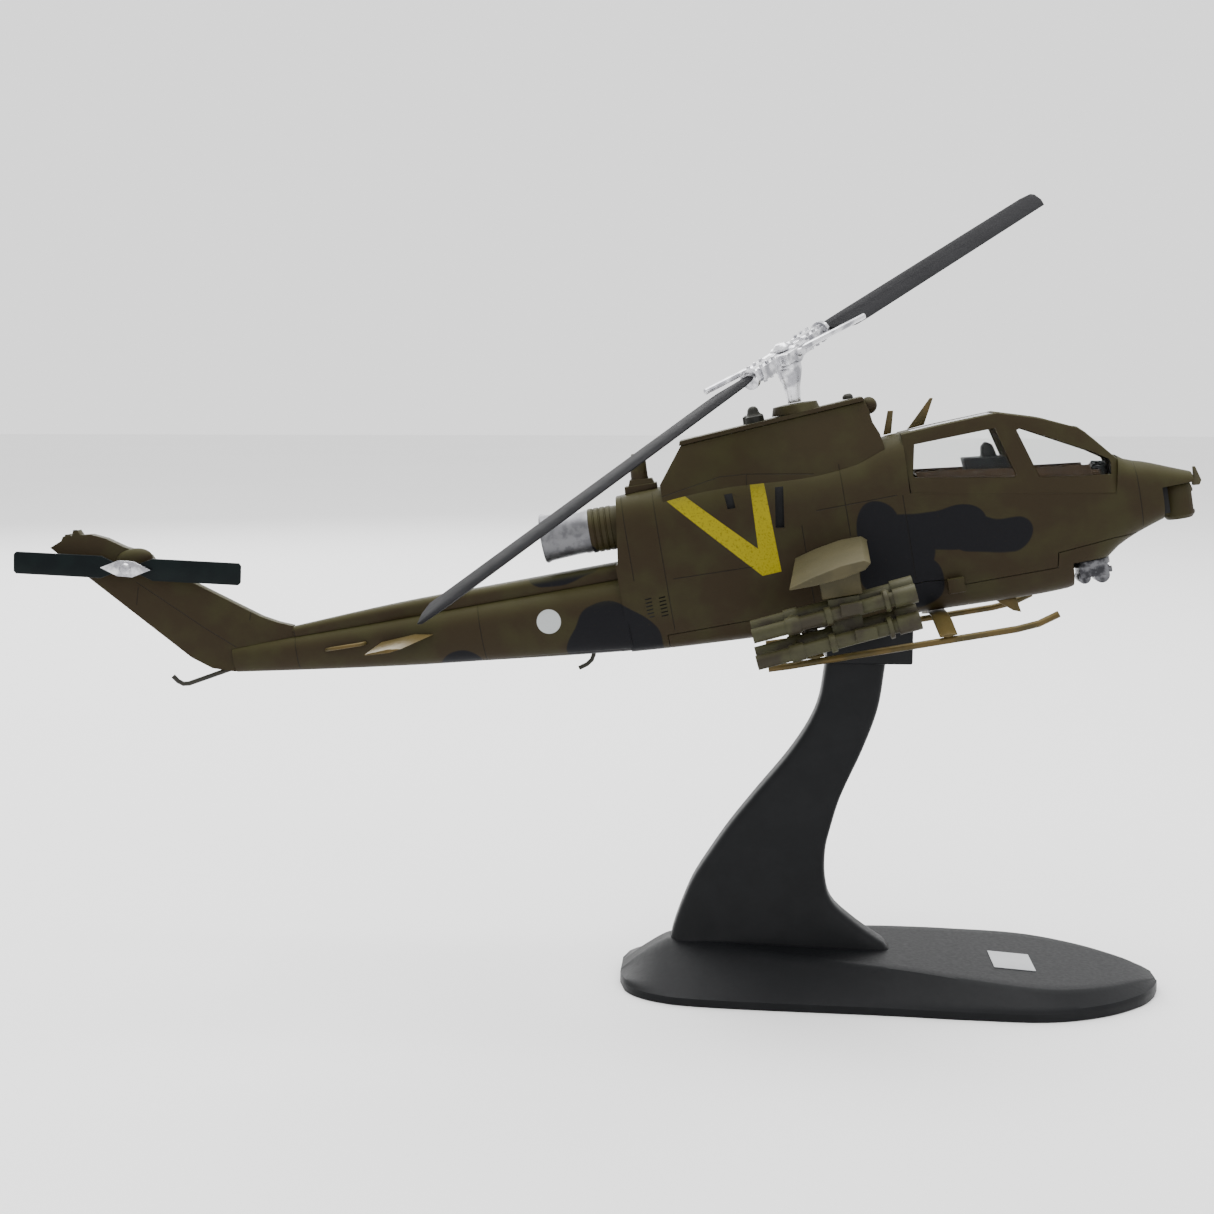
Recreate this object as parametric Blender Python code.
"""Desk model of a slim two-seat attack helicopter on a black display stand.

Dimensions are millimetres of the finished model and are scaled to metres when
each mesh is made.  World frame: origin in the middle of the stand's underside,
+X towards the nose, +Y to port, +Z up.  The helicopter is drawn in its own
frame (origin at the foot of the rotor mast) and hangs nose-up on the stand.
"""
import math

import bmesh
import bpy
from mathutils import Matrix, Vector

MM = 0.001

# --- how the helicopter sits on the stand ---------------------------------
NOSE_UP = math.radians(10.0)
MAST_FOOT = Vector((-16.4, 0.0, 97.0))

# --- clearances ------------------------------------------------------------
SEAM = 0.10
REST_GAP = 0.30
WALL = 1.0

# --- fuselage: x, top, bottom, half width, squareness ----------------------
HULL = (
    (-33.0, -10.3, -36.0, 5.5, 3.2),
    (-26.0, -9.9, -36.4, 6.2, 3.2),
    (-13.0, -10.0, -36.9, 6.8, 3.2),
    (0.0, -10.6, -37.2, 6.9, 3.2),
    (8.0, -9.8, -37.3, 6.8, 3.2),
    (13.0, -8.0, -37.3, 6.5, 3.2),
    (17.3, -7.7, -37.3, 6.2, 3.2),
    (24.0, -7.1, -37.4, 5.9, 3.2),
    (31.0, -7.0, -37.5, 5.8, 3.2),
    (37.0, -8.8, -37.4, 5.7, 3.0),
    (40.0, -10.1, -37.0, 5.6, 3.0),
    (44.0, -11.9, -34.8, 5.4, 3.0),
    (47.0, -15.0, -32.2, 5.2, 3.0),
    (50.0, -17.8, -30.6, 4.9, 2.8),
    (54.0, -19.2, -29.1, 4.4, 2.8),
    (58.0, -20.8, -27.9, 3.6, 2.6),
    (60.6, -21.8, -27.1, 2.8, 2.6),
)
HULL_POINTS = 28
CAVITY_REAR = -29.0
CAVITY_FRONT = 48.0

# side outlines (x, z)
CANOPY_SIDE = ((16.2, 0.0), (15.6, -17.4), (47.8, -23.0), (49.3, -17.0), (49.3, 0.0))
CANOPY_WALL = 0.7
# x, z and which way the pan's own edge draws back from the seam
PAN_SEAM = (
    (-26.6, -42.0, 1), (-26.6, -33.7, 1), (-12.8, -33.4, 0), (15.9, -31.8, 0), (21.8, -32.4, -1),
    (22.2, -33.4, -1), (37.0, -33.2, 1), (37.4, -30.8, 1), (46.4, -30.0, 0), (52.0, -30.0, 0),
    (52.0, -42.0, 0),
)
TURRET_STEP_X = 39.6
TURRET_STEP_Z = -33.0
SIGHT_STEP_X = 55.2
SIGHT_STEP_Z = -23.4
PEG_X = (2.0, 10.0)
PEG_HALF = 1.5
PEG_Z = (-40.0, -34.5)
PEG_CLEARANCE = 0.3

# --- tail ------------------------------------------------------------------
BOOM = (
    (-33.4, -23.4, -35.9, 5.2, 2.6),
    (-45.0, -23.5, -34.8, 4.5, 2.5),
    (-58.0, -23.6, -33.5, 3.9, 2.4),
    (-70.0, -23.8, -32.3, 3.3, 2.3),
    (-86.0, -24.0, -30.4, 2.4, 2.2),
    (-99.2, -24.2, -28.7, 1.5, 2.2),
)
SPINE = (
    (-33.4, -20.9, -24.6, 2.6, 2.6),
    (-51.0, -21.2, -24.6, 2.3, 2.6),
    (-70.0, -21.5, -24.8, 1.9, 2.4),
    (-88.3, -22.5, -24.9, 1.2, 2.2),
)
FIN_SIDE = (
    (-88.7, -24.6), (-88.7, -22.4), (-91.1, -21.4), (-93.7, -20.0), (-103.5, -12.9),
    (-109.8, -8.2), (-110.4, -6.7), (-111.4, -6.0), (-114.4, -4.6), (-117.3, -2.6),
    (-119.7, -1.5), (-121.4, -1.3), (-121.8, -0.4), (-122.6, -0.5), (-122.9, -1.2),
    (-123.4, -0.8), (-124.5, -1.1), (-124.9, -1.7), (-127.0, -2.5), (-122.1, -7.8),
    (-106.8, -24.8), (-103.6, -27.2), (-99.8, -28.4), (-99.8, -24.6),
)
FIN_HALF = 1.0
TAIL_AXIS = Vector((-113.7, 0.0, -8.0))
GEARBOX_Y = (-2.5, -1.1)
TAIL_HUB_Y = (-5.2, -2.8)
TAIL_GRIP = ((-4.3, 0.0), (-1.3, -1.3), (1.2, -1.35), (4.3, 0.0), (1.3, 1.3), (-1.2, 1.35))
TAIL_BLADE_Y = -3.8
TAIL_BLADE_ANGLE = math.radians(12.6)
TAIL_RADIUS = 19.3
TAIL_CHORD = 3.7
ELEVATOR_ROOT = ((-64.5, -2.4), (-73.8, -2.4))
ELEVATOR_TIP = ((-68.5, -14.6), (-74.5, -14.6))
ELEVATOR_Z = (-27.4, -27.7)
ELEVATOR_HALF = (0.55, 0.3)

# --- rotor -----------------------------------------------------------------
HUB_HEIGHT = 7.7
BLADE_AZIMUTH = math.radians(52.4)
TEETER_REST = math.radians(15.3)
BLADE_PITCH = math.radians(8.8)
BLADE_DROOP = math.radians(1.4)
BLADE_RISE = 0.5
ROTOR_RADIUS = 93.0
BLADE_ROOT = 11.4
# distance from the hub, leading edge, trailing edge, thickness scale
BLADE_STATIONS = (
    (BLADE_ROOT, 1.0, -3.4, 1.0),
    (14.0, 2.1, -5.3, 1.0),
    (18.0, 2.2, -5.5, 1.0),
    (85.0, 2.2, -5.5, 1.0),
    (89.0, 2.1, -3.0, 0.8),
    (ROTOR_RADIUS, 1.5, 0.3, 0.4),
)
BLADE_HALF = 0.6

# --- wings and launchers ----------------------------------------------------
WING_ROOT_Y = 5.5
WING_TIP_Y = 22.8
TUBE_RADIUS = 1.15
MUZZLE_RADIUS = 1.5
TUBE_REAR_X = -12.7
TUBE_FRONT_X = 12.9
TUBE_OUT_Y = 21.4
TUBE_IN_Y = 17.2
TUBE_RISE = 0.1
UPPER_OUT_Z = -32.7
UPPER_IN_Z = -31.9
LOWER_OUT_Z = -36.9
LOWER_IN_Z = -36.1

# --- skids -----------------------------------------------------------------
SKID_Y = 14.0
SKID_Z = -40.6
SKID_RADIUS = 0.55
CROSS_X = (-3.6, 17.4)

# --- stand -----------------------------------------------------------------
# x, half width at the rim, half width of the top face, height of the top face
BASE_SECTIONS = (
    (-44.5, 4.0, 2.6, 1.9), (-43.4, 8.6, 2.4, 2.8), (-40.5, 12.2, 2.0, 5.0), (-36.6, 14.4, 1.7, 7.3),
    (-34.0, 15.2, 2.0, 7.4), (-28.5, 16.0, 3.6, 7.2), (-20.0, 16.7, 6.7, 6.9), (-4.5, 17.6, 11.0, 6.3),
    (2.0, 18.1, 12.2, 6.0), (12.0, 19.0, 14.2, 5.2), (24.5, 19.2, 15.4, 4.2), (33.5, 15.9, 11.9, 3.6),
    (40.3, 10.4, 6.5, 3.0), (43.2, 6.0, 3.2, 2.4), (44.4, 2.6, 1.2, 1.9),
)
BASE_RIM = 1.6
COLUMN_GAP = 0.1
# height, rear edge, front edge, half thickness
COLUMN = (
    (5.1, -36.4, 0.4, 3.4),
    (6.6, -36.3, 0.2, 3.3),
    (8.2, -36.0, -2.0, 3.2),
    (10.3, -35.4, -5.0, 3.2),
    (13.9, -34.1, -9.0, 3.2),
    (17.8, -32.4, -10.3, 3.2),
    (22.9, -29.2, -10.4, 3.3),
    (27.0, -26.4, -9.5, 3.1),
    (32.0, -22.5, -8.0, 3.0),
    (40.3, -16.2, -4.4, 3.0),
    (47.0, -11.8, -2.1, 3.0),
    (54.5, -10.8, -1.0, 3.2),
)
COLUMN_CHAMFER = 1.2
CRADLE_X = (-10.8, 3.1)
CRADLE_BOTTOM = 54.65
CRADLE_HALF = 5.0
BELLY_Z = -37.3
SCREW_X = (-28.0, -14.0)
SCREW_TOP = 12.0

# --- colours (linear base colour, roughness, metallic) ---------------------
OLIVE = ((0.042, 0.034, 0.018), 0.62, 0.0)
OLIVE_LIGHT = ((0.115, 0.100, 0.048), 0.60, 0.0)
BRONZE = ((0.150, 0.105, 0.030), 0.50, 0.2)
BLADE_GREY = ((0.030, 0.030, 0.032), 0.50, 0.0)
BLACK_BLADE = ((0.010, 0.014, 0.016), 0.45, 0.0)
SILVER = ((0.550, 0.550, 0.560), 0.28, 1.0)
DULL_SILVER = ((0.200, 0.200, 0.205), 0.42, 1.0)
STAND_BLACK = ((0.012, 0.013, 0.015), 0.38, 0.0)
CLEAR = ((0.800, 0.840, 0.820), 0.05, 0.0)
SEAT_GREY = ((0.035, 0.036, 0.038), 0.70, 0.0)
TUB_BROWN = ((0.070, 0.050, 0.026), 0.70, 0.0)


def clear_scene():
    for obj in list(bpy.data.objects):
        bpy.data.objects.remove(obj, do_unlink=True)


def axis_empty(name, parent, place, turn=None):
    """An empty that carries one moving assembly; its origin is on the joint."""
    empty = bpy.data.objects.new(name, None)
    empty.empty_display_size = 0.01
    bpy.context.scene.collection.objects.link(empty)
    empty.parent = parent
    rotation = turn if turn is not None else Matrix.Identity(4)
    empty.matrix_local = Matrix.Translation(place * MM) @ rotation
    return empty


# --- solids ------------------------------------------------------------------
def ring_loft(rings):
    """Skin a closed solid over rings that all have the same number of points."""
    bm = bmesh.new()
    loops = [[bm.verts.new(point) for point in ring] for ring in rings]
    count = len(loops[0])
    for near, far in zip(loops, loops[1:]):
        for i in range(count):
            j = (i + 1) % count
            bm.faces.new((near[i], near[j], far[j], far[i]))
    bm.faces.new(loops[0])
    bm.faces.new(loops[-1])
    bmesh.ops.recalc_face_normals(bm, faces=bm.faces)
    return bm


def oval_ring(station, grow=0.0, count=HULL_POINTS):
    """Rounded-square cross-section standing across the helicopter."""
    x, top, bottom, half, power = station
    middle = (top + bottom) / 2
    tall = (top - bottom) / 2 + grow
    wide = half + grow
    ring = []
    for i in range(count):
        angle = 2 * math.pi * (i + 0.5) / count
        c = math.cos(angle)
        s = math.sin(angle)
        y = math.copysign(abs(c) ** (2 / power), c) * wide
        z = math.copysign(abs(s) ** (2 / power), s) * tall
        ring.append((x, y, middle + z))
    return ring


def oval_loft(stations, grow=0.0, count=HULL_POINTS):
    return ring_loft([oval_ring(station, grow, count) for station in stations])


def prism(outline, y0, y1):
    """Side outline (x, z) given width from y0 to y1."""
    return ring_loft([[(x, y, z) for x, z in outline] for y in (y0, y1)])


def box(x0, x1, y0, y1, z0, z1):
    return prism(((x0, z0), (x1, z0), (x1, z1), (x0, z1)), y0, y1)


def rod(start, end, r0, r1=None, count=16):
    """Round bar or cone between two points."""
    start = Vector(start)
    end = Vector(end)
    r1 = r0 if r1 is None else r1
    turn = (end - start).to_track_quat("Z", "Y")
    rings = []
    for centre, radius in ((start, r0), (end, r1)):
        ring = []
        for i in range(count):
            angle = 2 * math.pi * i / count
            offset = Vector((radius * math.cos(angle), radius * math.sin(angle), 0.0))
            ring.append(centre + turn @ offset)
        rings.append(ring)
    return ring_loft(rings)


def bent_rod(path, radius, count=10):
    """Round wire following a bent path in one piece."""
    points = [Vector(point) for point in path]
    rings = []
    side = None
    for i, point in enumerate(points):
        ahead = (points[min(i + 1, len(points) - 1)] - points[max(i - 1, 0)]).normalized()
        if side is None:
            helper = Vector((0.0, 1.0, 0.0)) if abs(ahead.y) < 0.9 else Vector((1.0, 0.0, 0.0))
            side = ahead.cross(helper).normalized()
        side = (side - ahead * side.dot(ahead)).normalized()
        up = ahead.cross(side)
        ring = []
        for k in range(count):
            angle = 2 * math.pi * k / count
            ring.append(point + side * (radius * math.cos(angle)) + up * (radius * math.sin(angle)))
        rings.append(ring)
    return ring_loft(rings)


def lathe(centre, profile, axis="Z", count=24):
    """Turned solid; profile is (radius, height) from bottom to top."""
    rings = []
    for radius, height in profile:
        ring = []
        for i in range(count):
            angle = 2 * math.pi * i / count
            a = radius * math.cos(angle)
            b = radius * math.sin(angle)
            offset = (a, b, height) if axis == "Z" else (a, height, b)
            ring.append(Vector(centre) + Vector(offset))
        rings.append(ring)
    return ring_loft(rings)


def work_object(bm):
    mesh = bpy.data.meshes.new("work")
    bm.to_mesh(mesh)
    bm.free()
    obj = bpy.data.objects.new("work", mesh)
    bpy.context.scene.collection.objects.link(obj)
    return obj


def combine(target, bm, operation):
    """Union, difference or intersection of a work object with one more solid."""
    tool = work_object(bm)
    step = target.modifiers.new("combine", "BOOLEAN")
    step.operation = operation
    step.solver = "EXACT"
    step.object = tool
    graph = bpy.context.evaluated_depsgraph_get()
    shaped = bpy.data.meshes.new_from_object(target.evaluated_get(graph))
    target.modifiers.clear()
    target.data = shaped
    bpy.data.objects.remove(tool, do_unlink=True)


def fuse(*solids):
    target = work_object(solids[0])
    for bm in solids[1:]:
        combine(target, bm, "UNION")
    return target


def carve(target, *cutters):
    for bm in cutters:
        combine(target, bm, "DIFFERENCE")


def finish(target, name, look, parent, origin=(0.0, 0.0, 0.0), tilt=None):
    """Scale to metres, name, paint and hang one finished sub-part."""
    colour, roughness, metallic = look
    mat = bpy.data.materials.new(name + "_finish")
    mat.use_nodes = True
    shader = mat.node_tree.nodes["Principled BSDF"]
    shader.inputs["Base Color"].default_value = (*colour, 1.0)
    shader.inputs["Roughness"].default_value = roughness
    shader.inputs["Metallic"].default_value = metallic
    mesh = target.data
    mesh.transform(Matrix.Scale(MM, 4) @ Matrix.Translation(-Vector(origin)))
    mesh.materials.clear()
    mesh.materials.append(mat)
    mesh.polygons.foreach_set("use_smooth", [True] * len(mesh.polygons))
    mesh.set_sharp_from_angle(angle=math.radians(35))
    target.name = name
    mesh.name = name
    target.parent = parent
    rotation = tilt if tilt is not None else Matrix.Identity(4)
    target.matrix_local = Matrix.Translation(Vector(origin) * MM) @ rotation
    return target


def in_world(x, z):
    """World x and z of a point on the helicopter's centre plane."""
    c = math.cos(NOSE_UP)
    s = math.sin(NOSE_UP)
    return MAST_FOOT.x + x * c - z * s, MAST_FOOT.z + x * s + z * c


# --- fuselage ----------------------------------------------------------------
def hull_cavity(wall):
    """Room inside the fuselage shell."""
    stations = [s for s in HULL if CAVITY_REAR < s[0] < CAVITY_FRONT]
    return oval_loft(stations, -wall)


def build_fuselage(parent):
    body = fuse(oval_loft(HULL))
    carve(
        body,
        prism(CANOPY_SIDE, -9, 9),
        prism([(x, z) for x, z, _ in PAN_SEAM], -9, 9),
        box(TURRET_STEP_X, 70, -9, 9, -45, TURRET_STEP_Z),
        box(SIGHT_STEP_X, 70, -9, 9, -45, SIGHT_STEP_Z),
        hull_cavity(WALL),
    )
    finish(body, "fuselage_body", OLIVE, parent)

    pan = fuse(oval_loft(HULL))
    seam = [(x + way * SEAM, z - SEAM) for x, z, way in PAN_SEAM]
    combine(pan, prism(seam, -9, 9), "INTERSECT")
    slot = box(
        PEG_X[0] - PEG_CLEARANCE, PEG_X[1] + PEG_CLEARANCE,
        -PEG_HALF - PEG_CLEARANCE, PEG_HALF + PEG_CLEARANCE, -41, -30,
    )
    carve(pan, box(TURRET_STEP_X, 70, -9, 9, -45, TURRET_STEP_Z), hull_cavity(WALL), slot)
    finish(pan, "belly_pan", OLIVE, parent)


def build_canopy(parent):
    shell = fuse(oval_loft(HULL))
    region = [(x - math.copysign(SEAM, x - 30.0), z + SEAM) for x, z in CANOPY_SIDE]
    combine(shell, prism(region, -9, 9), "INTERSECT")
    inner = [s for s in HULL if 13.0 < s[0] < 49.0]
    carve(shell, oval_loft([(16.9, *inner[0][1:]), *inner, (48.3, -16.4, -31.0, 5.1, 3.0)], -CANOPY_WALL))
    finish(shell, "canopy", CLEAR, parent)


def build_cockpit(parent):
    tub = fuse(prism(((17.2, -26.0), (17.2, -14.9), (46.0, -18.9), (46.0, -26.0)), -3.9, 3.9))
    carve(tub, prism(((18.0, -25.2), (18.0, 0.0), (30.6, 0.0), (32.6, -25.2)), -3.2, 3.2))
    carve(tub, prism(((33.8, -25.2), (33.8, 0.0), (45.2, 0.0), (45.2, -25.2)), -3.2, 3.2))
    carve(tub, box(30.0, 34.6, -3.2, 3.2, -20.2, 0.0), box(43.4, 47.0, -3.2, 3.2, -23.7, 0.0))
    finish(tub, "cockpit_tub", TUB_BROWN, parent)

    rear = fuse(
        prism(((20.0, -24.9), (19.4, -18.0), (20.8, -17.2), (22.4, -21.6), (27.6, -21.4), (27.6, -24.9)), -2.6, 2.6),
        prism(((19.5, -18.4), (19.2, -16.4), (20.3, -16.0), (21.0, -17.6)), -1.5, 1.5),
    )
    finish(rear, "pilot_seat", SEAT_GREY, parent)

    front = fuse(
        prism(((35.2, -24.9), (34.6, -19.0), (35.8, -18.4), (37.4, -22.8), (42.2, -22.6), (42.2, -24.9)), -2.4, 2.4),
        prism(((34.6, -19.4), (34.4, -17.6), (35.4, -17.4), (36.0, -19.0)), -1.3, 1.3),
    )
    finish(front, "gunner_seat", SEAT_GREY, parent)

    panel = fuse(
        prism(((25.6, -17.2), (25.2, -13.6), (31.8, -14.3), (33.2, -18.0), (32.6, -20.0), (31.0, -20.0)), -2.8, 2.8),
        prism(((28.2, -14.6), (28.5, -12.3), (29.3, -11.6), (30.2, -12.2), (30.9, -15.0)), -1.4, 1.4),
    )
    finish(panel, "pilot_panel", SEAT_GREY, parent)

    hood = fuse(
        prism(((44.1, -23.0), (44.8, -18.6), (46.0, -17.6), (47.2, -18.5), (46.8, -22.9)), -2.0, 2.0),
    )
    carve(hood, prism(((40, -23.6), (50, -24.6), (50, -30), (40, -30)), -9, 9))
    finish(hood, "gunner_sight_hood", SEAT_GREY, parent)


def build_nose(parent):
    drum = fuse(
        lathe((58.1, 0, 0), ((2.0, -29.1), (2.5, -28.5), (2.6, -24.6), (2.3, -23.6))),
        box(55.6, 57.0, -1.6, 1.6, -28.2, -24.2),
    )
    carve(drum, box(60.2, 63, -1.5, 1.5, -28.0, -25.0))
    finish(drum, "nose_sight", OLIVE, parent)
    probe = fuse(prism(((60.8, -24.2), (61.9, -24.3), (62.3, -23.6), (61.6, -21.2), (61.2, -21.2), (61.1, -23.1), (60.8, -23.2)), -0.35, 0.35))
    finish(probe, "nose_probe", OLIVE, parent)


def build_turret(parent):
    x = 43.0
    body = fuse(
        lathe((x, 0, 0), ((3.1, -34.2), (3.1, -33.3))),
        box(x - 2.2, x + 2.4, -2.2, 2.2, -36.0, -34.0),
        rod((x - 1.5, -1.9, -36.0), (x - 1.5, 1.9, -36.0), 1.0, count=16),
        rod((x + 1.3, -1.9, -36.0), (x + 1.3, 1.9, -36.0), 1.25, count=16),
        rod((x + 1.5, 1.0, -35.3), (x + 3.1, 1.0, -35.3), 0.5, count=12),
        rod((x + 1.5, -1.0, -35.3), (x + 3.1, -1.0, -35.3), 0.5, count=12),
    )
    finish(body, "chin_turret", DULL_SILVER, parent, (x, 0, -34.0))


# --- pylon, engine and roof fittings ------------------------------------------
def build_pylon(parent):
    outline = (
        (-23.6, -13.0), (-23.7, -9.4), (-19.4, -3.8), (11.2, -1.75), (11.7, -5.3), (12.8, -7.9),
        (13.0, -13.0),
    )
    rings = []
    for side in (-1, 1):
        rings.append([(x, side * (3.3 - 0.16 * (z + 1.0)), z) for x, z in outline])
    pylon = fuse(ring_loft(rings))
    carve(pylon, oval_loft(HULL, SEAM))
    finish(pylon, "rotor_pylon", OLIVE, parent)

    plate = fuse(
        prism(((-19.6, -3.7), (-19.4, -3.0), (11.2, -0.95), (11.3, -1.65)), -3.9, 3.9),
        lathe((0, 0, 0), ((4.0, -1.75), (3.6, -0.35), (2.0, -0.2))),
    )
    finish(plate, "pylon_cap", OLIVE, parent)

    dome = fuse(lathe((-6.8, 0, 0), ((1.65, -2.0), (1.6, -1.0), (1.0, -0.5), (0.8, 0.1), (0.4, 0.5)), count=16))
    finish(dome, "rear_dome", BLACK_BLADE, parent)
    lamp = fuse(lathe((8.6, 0, 0), ((0.9, -1.0), (0.85, -0.5), (0.5, -0.15)), count=12))
    finish(lamp, "front_dome", BLACK_BLADE, parent)
    ball = fuse(
        lathe((12.5, 0, -2.9), ((0.5, -1.0), (1.0, -0.5), (1.15, 0.0), (1.0, 0.5), (0.5, 1.0)), count=16),
        rod((12.5, 0, -5.9), (12.5, 0, -3.4), 0.45, count=10),
    )
    finish(ball, "beacon_ball", OLIVE, parent)


def build_engine(parent):
    duct = fuse(rod((-33.4, 0, -15.3), (-37.3, 0, -15.0), 3.6, 3.5, 24))
    carve(duct, rod((-34.2, 0, -15.2), (-40.0, 0, -14.9), 2.9, 2.9, 20))
    finish(duct, "exhaust_duct", OLIVE, parent)
    nozzle = fuse(rod((-37.75, 0, -15.0), (-44.2, 0, -14.5), 3.4, 4.1, 24))
    carve(nozzle, rod((-38.4, 0, -14.93), (-46.0, 0, -14.37), 2.8, 3.8, 20))
    finish(nozzle, "exhaust_nozzle", DULL_SILVER, parent)

    base = fuse(
        prism(((-29.8, -11.5), (-29.6, -8.9), (-24.4, -9.0), (-24.3, -11.5)), -1.9, 1.9),
        prism(((-29.1, -9.2), (-28.6, -7.9), (-25.0, -8.2), (-24.7, -9.2)), -1.5, 1.5),
    )
    carve(base, oval_loft(HULL, SEAM))
    finish(base, "jammer_base", OLIVE, parent)
    head = fuse(rod((-27.0, 0, -7.75), (-26.6, 0, -3.9), 1.45, 1.2, 8))
    finish(head, "jammer_head", OLIVE, parent)

    aerial = fuse(prism(((13.3, -7.75), (14.6, -7.7), (15.5, -4.1), (14.6, -4.0)), -0.25, 0.25))
    finish(aerial, "roof_aerial", OLIVE, parent)
    cutter = fuse(prism(((17.2, -7.5), (20.0, -7.25), (22.1, -3.2), (21.6, -3.1)), -0.25, 0.25))
    finish(cutter, "upper_wire_cutter", BRONZE, parent)
    lower = fuse(prism(((27.2, -37.6), (30.4, -37.6), (30.9, -40.1), (29.6, -39.6)), -0.25, 0.25))
    finish(lower, "lower_wire_cutter", BRONZE, parent)
    hook = fuse(bent_rod(((-40.5, 0, -35.45), (-40.9, 0, -36.6), (-41.8, 0, -37.4), (-43.4, 0, -37.9)), 0.3))
    carve(hook, oval_loft(BOOM, SEAM))
    finish(hook, "belly_aerial", OLIVE, parent)


# --- tail --------------------------------------------------------------------
def build_tail(parent):
    boom = fuse(oval_loft(BOOM, 0.0, 24))
    finish(boom, "tail_boom", OLIVE, parent)

    spine = fuse(oval_loft(SPINE, 0.0, 16))
    carve(spine, oval_loft(BOOM, SEAM, 24))
    finish(spine, "boom_spine", OLIVE, parent)

    fin = fuse(prism(FIN_SIDE, -FIN_HALF, FIN_HALF))
    carve(fin, oval_loft(BOOM, SEAM, 24))
    finish(fin, "tail_fin", OLIVE, parent)

    gearbox = fuse(
        lathe(TAIL_AXIS + Vector((0.6, 0, 0.5)), ((1.5, GEARBOX_Y[0]), (2.3, GEARBOX_Y[1])), "Y", 20),
    )
    finish(gearbox, "tail_gearbox", OLIVE, parent)

    for side, word in ((-1, "starboard"), (1, "port")):
        rings = []
        for edge, half, z in (
            (ELEVATOR_ROOT, ELEVATOR_HALF[0], ELEVATOR_Z[0]),
            (ELEVATOR_TIP, ELEVATOR_HALF[1], ELEVATOR_Z[1]),
        ):
            (lead, y), (trail, _) = edge
            mid = lead * 0.65 + trail * 0.35
            y = -y * side
            rings.append((
                (lead, y, z), (mid, y, z + half), (trail, y, z + 0.1), (trail, y, z - 0.1),
                (mid, y, z - half),
            ))
        plane = fuse(ring_loft(rings))
        carve(plane, oval_loft(BOOM, SEAM, 24))
        finish(plane, "elevator_" + word, BRONZE, parent)

        rail = fuse(bent_rod((
            (-83.2, side * 2.0, -27.2), (-83.2, side * 3.2, -27.1), (-82.4, side * 3.7, -27.0),
            (-77.4, side * 4.0, -27.0), (-76.6, side * 3.5, -27.0), (-76.6, side * 2.0, -27.2),
        ), 0.32, 8))
        carve(rail, oval_loft(BOOM, SEAM, 24))
        finish(rail, "handrail_" + word, BRONZE, parent)

    skid = fuse(bent_rod((
        (-101.5, 0, -28.25), (-103.5, 0, -28.7), (-108.8, 0, -29.3), (-110.8, 0, -27.6),
    ), 0.35))
    carve(skid, prism([(x, z - SEAM) for x, z in FIN_SIDE], -2, 2))
    finish(skid, "tail_skid", BRONZE, parent)


def build_tail_rotor(parent):
    axis = axis_empty("tail_rotor_axis", parent, TAIL_AXIS)
    hub = fuse(
        lathe((0, 0, 0), ((0.7, TAIL_HUB_Y[0]), (1.0, TAIL_HUB_Y[0] + 0.3), (0.95, TAIL_HUB_Y[1])), "Y", 12),
        prism(TAIL_GRIP, TAIL_BLADE_Y - 1.0, TAIL_BLADE_Y - 0.35),
    )
    hub.data.transform(Matrix.Rotation(TAIL_BLADE_ANGLE, 4, "Y"))
    finish(hub, "tail_rotor_hub", SILVER, axis)
    for sign, word in ((1, "front"), (-1, "rear")):
        outline = (
            (1.6, -0.7), (4.4, -TAIL_CHORD / 2), (TAIL_RADIUS - 0.4, -TAIL_CHORD / 2), (TAIL_RADIUS, -1.4),
            (TAIL_RADIUS, 1.4), (TAIL_RADIUS - 0.4, TAIL_CHORD / 2), (4.4, TAIL_CHORD / 2), (1.6, 0.7),
        )
        blade = fuse(prism(outline, TAIL_BLADE_Y - 0.28, TAIL_BLADE_Y + 0.28))
        if sign < 0:
            blade.data.transform(Matrix.Rotation(math.pi, 4, "Y"))
        blade.data.transform(Matrix.Rotation(TAIL_BLADE_ANGLE, 4, "Y"))
        finish(blade, "tail_blade_" + word, BLACK_BLADE, axis)


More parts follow.
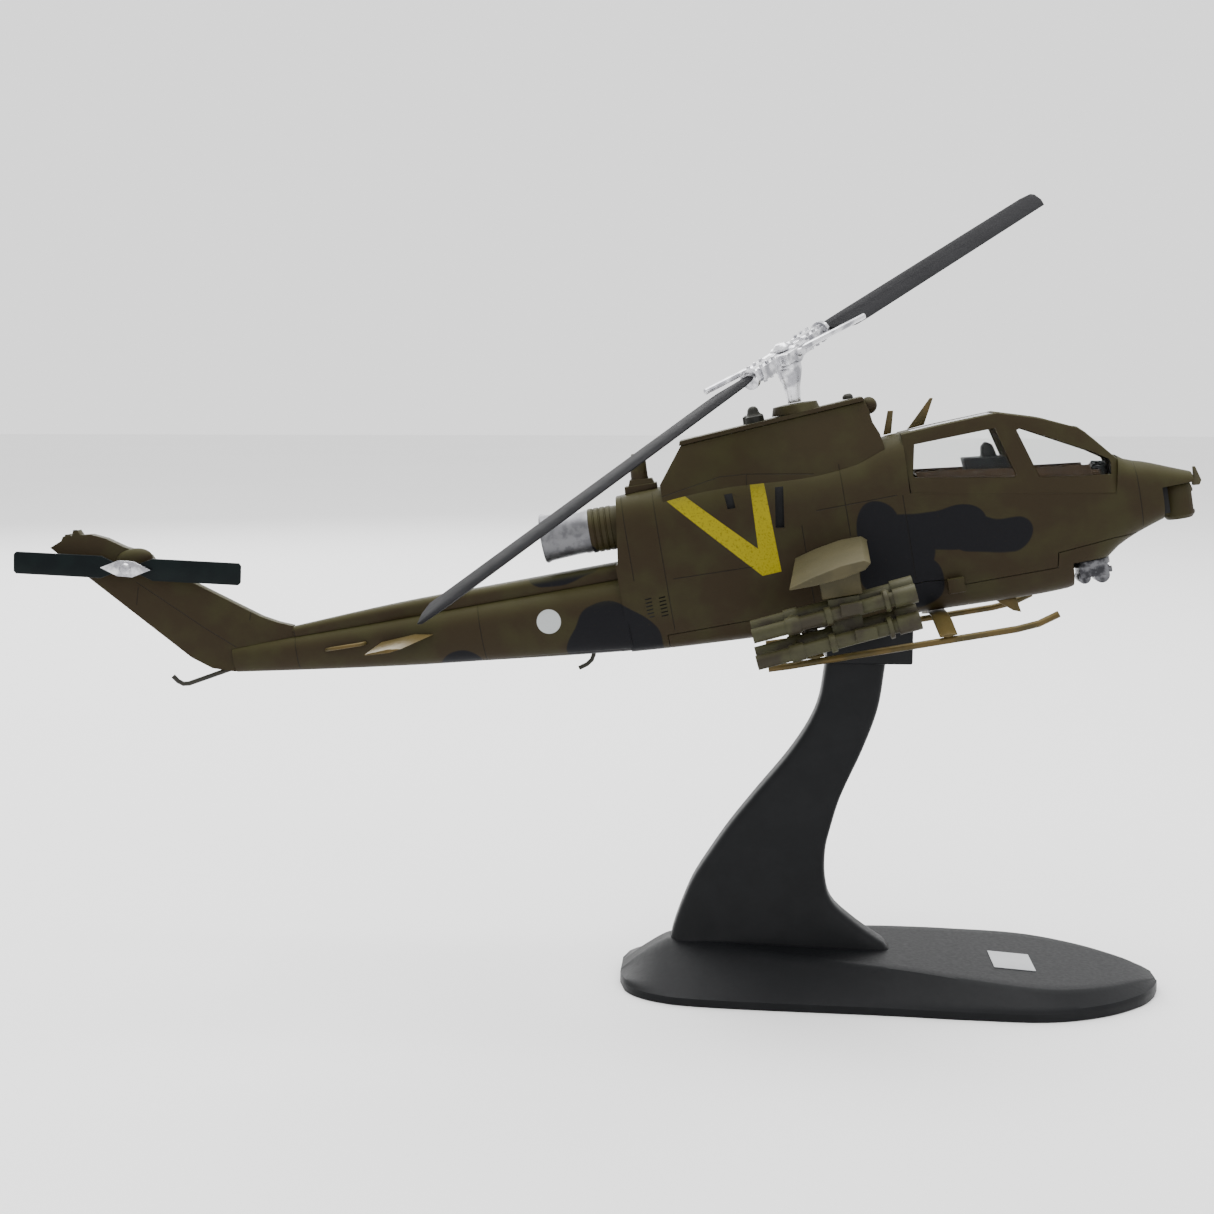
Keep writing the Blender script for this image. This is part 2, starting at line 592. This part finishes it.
# --- main rotor ----------------------------------------------------------------
def build_rotor(parent):
    spin = axis_empty("main_rotor_axis", parent, Vector((0, 0, 0)))
    mast = fuse(lathe((0, 0, 0), ((1.15, -0.08), (1.15, 0.8), (1.35, 2.4), (1.8, 4.0), (2.1, 5.2), (2.1, 5.6))))
    finish(mast, "rotor_mast", SILVER, spin)

    turn = Matrix.Rotation(BLADE_AZIMUTH, 4, "Z") @ Matrix.Rotation(-TEETER_REST, 4, "Y")
    rock = axis_empty("teeter_axis", spin, Vector((0, 0, HUB_HEIGHT)), turn)
    hub = fuse(
        box(-3.6, 3.6, -2.6, 2.6, -0.75, 1.0),
        rod((-11.2, 0, 0.2), (11.2, 0, 0.2), 0.95, count=16),
        box(-9.6, -4.6, -1.7, 1.7, -0.9, 1.2),
        box(4.6, 9.6, -1.7, 1.7, -0.9, 1.2),
        rod((1.0, -2.2, 0.3), (14.6, -6.6, 0.3), 0.5, count=8),
        rod((-1.0, 2.2, 0.3), (-14.6, 6.6, 0.3), 0.5, count=8),
        rod((0, -3.4, 0.1), (0, 3.4, 0.1), 0.7, count=12),
    )
    finish(hub, "rotor_hub", SILVER, rock)
    cap = fuse(
        lathe((-0.8, 0, 0), ((1.4, 1.2), (1.4, 1.7), (0.8, 2.3)), count=16),
        lathe((0.9, 0, 0), ((1.1, 1.2), (1.1, 1.4), (0.7, 1.9)), count=16),
    )
    finish(cap, "rotor_cap", SILVER, rock)

    for sign, word in ((1, "a"), (-1, "b")):
        rings = []
        for reach, lead, trail, thick in BLADE_STATIONS:
            span = lead - trail
            half = BLADE_HALF * thick
            rings.append((
                (reach, lead, 0.0), (reach, lead - 0.12 * span, half * 0.8),
                (reach, lead - 0.35 * span, half), (reach, lead - 0.7 * span, half * 0.6),
                (reach, trail, 0.1), (reach, trail, -0.05),
                (reach, lead - 0.7 * span, -half * 0.4), (reach, lead - 0.35 * span, -half * 0.7),
                (reach, lead - 0.12 * span, -half * 0.6),
            ))
        blade = fuse(ring_loft(rings))
        turned = Matrix.Translation((0, 0, BLADE_RISE)) @ Matrix.Rotation(BLADE_DROOP, 4, "Y")
        turned = turned @ Matrix.Rotation(BLADE_PITCH, 4, "X")
        if sign < 0:
            turned = Matrix.Rotation(math.pi, 4, "Z") @ turned
        blade.data.transform(turned)
        finish(blade, "main_blade_" + word, BLADE_GREY, rock)


# --- wings, launchers, skids -----------------------------------------------------
def wing_ring(y, lead, trail, z_lead, z_trail, half):
    """Thick wing section; the leading edge is the front of the ring."""
    chord = lead - trail
    shape = ((0.0, 0.0), (0.08, 0.75), (0.35, 1.0), (0.7, 0.7), (1.0, 0.15), (1.0, -0.15),
             (0.7, -0.7), (0.35, -1.0), (0.08, -0.75))
    ring = []
    for along, up in shape:
        z = z_lead + (z_trail - z_lead) * along + half * up
        ring.append((lead - chord * along, y, z))
    return ring


def launcher_pair(side, out_z, in_z):
    """Two launch tubes side by side with cross clips, pointing slightly up."""
    solids = []
    for y, z in ((TUBE_OUT_Y, out_z), (TUBE_IN_Y, in_z)):
        def on_tube(x):
            return (x, side * y, z + TUBE_RISE * x)
        solids.append(rod(on_tube(TUBE_REAR_X), on_tube(TUBE_FRONT_X), TUBE_RADIUS))
        solids.append(rod(on_tube(9.5), on_tube(TUBE_FRONT_X + 0.1), MUZZLE_RADIUS))
        solids.append(rod(on_tube(-7.4), on_tube(-5.2), TUBE_RADIUS + 0.25))
    for x in (-6.3, 2.0, 8.4):
        a = (x, side * TUBE_OUT_Y, out_z + TUBE_RISE * x)
        b = (x, side * TUBE_IN_Y, in_z + TUBE_RISE * x)
        solids.append(rod(a, b, 0.8, count=8))
    return solids


def build_wing(side, word, parent):
    wing = fuse(ring_loft([
        wing_ring(side * WING_ROOT_Y, 8.0, -4.2, -23.4, -24.6, 1.2),
        wing_ring(side * 8.0, 7.6, -4.2, -23.7, -24.8, 1.2),
        wing_ring(side * WING_TIP_Y, 6.9, -6.0, -25.6, -27.6, 1.0),
    ]))
    middle = side * (TUBE_OUT_Y + TUBE_IN_Y) / 2
    combine(wing, box(-1.2, 5.0, middle - 1.1, middle + 1.1, -30.3, -26.0), "UNION")
    carve(wing, oval_loft(HULL, SEAM))
    finish(wing, "wing_" + word, OLIVE_LIGHT, parent)

    upper = fuse(*launcher_pair(side, UPPER_OUT_Z, UPPER_IN_Z))
    combine(upper, box(-0.4, 4.4, middle - 1.2, middle + 1.2, -32.8, -30.45), "UNION")
    finish(upper, "launcher_upper_" + word, OLIVE_LIGHT, parent)

    lower = fuse(*launcher_pair(side, LOWER_OUT_Z, LOWER_IN_Z))
    combine(lower, box(-0.4, 4.4, middle - 0.85, middle + 0.85, -37.0, -33.45), "UNION")
    finish(lower, "launcher_lower_" + word, OLIVE_LIGHT, parent)


def build_skids(parent):
    for side, word in ((-1, "starboard"), (1, "port")):
        y = side * SKID_Y
        runner = fuse(bent_rod((
            (-11.2, y, SKID_Z + 0.1), (-8.0, y, SKID_Z), (8.0, y, SKID_Z), (28.0, y, SKID_Z),
            (31.5, y, SKID_Z + 0.3), (34.8, y, SKID_Z + 1.3),
        ), SKID_RADIUS, 12))
        finish(runner, "skid_" + word, BRONZE, parent)
    for x, word in zip(CROSS_X, ("rear", "front")):
        rings = []
        for y, z in ((-14.9, -39.75), (-13.2, -39.4), (-9.0, -38.2), (-4.5, -37.75),
                     (4.5, -37.75), (9.0, -38.2), (13.2, -39.4), (14.9, -39.75)):
            rings.append((
                (x - 1.4, y, z - 0.1), (x, y, z - 0.28), (x + 1.4, y, z - 0.1),
                (x + 1.4, y, z + 0.1), (x, y, z + 0.28), (x - 1.4, y, z + 0.1),
            ))
        tube = fuse(ring_loft(rings))
        finish(tube, "cross_tube_" + word, BRONZE, parent)


# --- stand -----------------------------------------------------------------------
def base_loft(lift=0.0):
    rings = []
    for x, rim, top, height in BASE_SECTIONS:
        z = height + lift
        rings.append((
            (x, -rim, 0), (x, -rim, BASE_RIM), (x, -top, z), (x, 0, z), (x, top, z), (x, rim, BASE_RIM),
            (x, rim, 0),
        ))
    return ring_loft(rings)


def build_stand():
    base = fuse(base_loft())
    for x in SCREW_X:
        carve(base, rod((x, 0, -1.0), (x, 0, 2.4), 3.2), rod((x, 0, -1.0), (x, 0, 8.0), 1.6))
    finish(base, "stand_base", STAND_BLACK, None)

    rings = []
    for z, rear, front, half in COLUMN:
        c = COLUMN_CHAMFER
        rings.append((
            (rear + c, -half, z), (front - c, -half, z), (front, c - half, z), (front, half - c, z),
            (front - c, half, z), (rear + c, half, z), (rear, half - c, z), (rear, c - half, z),
        ))
    column = fuse(ring_loft(rings))
    carve(column, base_loft(COLUMN_GAP))
    for x in SCREW_X:
        carve(column, rod((x, 0, 4.0), (x, 0, SCREW_TOP + 0.5), 1.3))
    finish(column, "stand_column", STAND_BLACK, None)

    corners = [(CRADLE_X[0], CRADLE_BOTTOM), (CRADLE_X[1], CRADLE_BOTTOM)]
    for x in reversed(CRADLE_X):
        along = (x - in_world(0, BELLY_Z - REST_GAP)[0]) / math.cos(NOSE_UP)
        corners.append((x, in_world(along, BELLY_Z - REST_GAP)[1]))
    cradle = fuse(prism(corners, -CRADLE_HALF, CRADLE_HALF))
    peg = [in_world(x, z) for x, z in (
        (PEG_X[0], PEG_Z[0]), (PEG_X[1], PEG_Z[0]), (PEG_X[1], PEG_Z[1]), (PEG_X[0], PEG_Z[1]))]
    combine(cradle, prism(peg, -PEG_HALF, PEG_HALF), "UNION")
    finish(cradle, "stand_cradle", STAND_BLACK, None)

    for x, word in zip(SCREW_X, ("rear", "front")):
        screw = fuse(lathe((x, 0, 0), ((2.8, 0.5), (2.8, 2.1), (1.1, 2.3), (1.1, SCREW_TOP)), count=16))
        finish(screw, "base_screw_" + word, DULL_SILVER, None)


def build():
    clear_scene()
    pitch = Matrix.Rotation(-NOSE_UP, 4, "Y")
    airframe = axis_empty("airframe", None, MAST_FOOT, pitch)
    build_stand()
    build_fuselage(airframe)
    build_canopy(airframe)
    build_cockpit(airframe)
    build_nose(airframe)
    build_turret(airframe)
    build_pylon(airframe)
    build_engine(airframe)
    build_tail(airframe)
    build_tail_rotor(airframe)
    build_rotor(airframe)
    for side, word in ((-1, "starboard"), (1, "port")):
        build_wing(side, word, airframe)
    build_skids(airframe)


build()
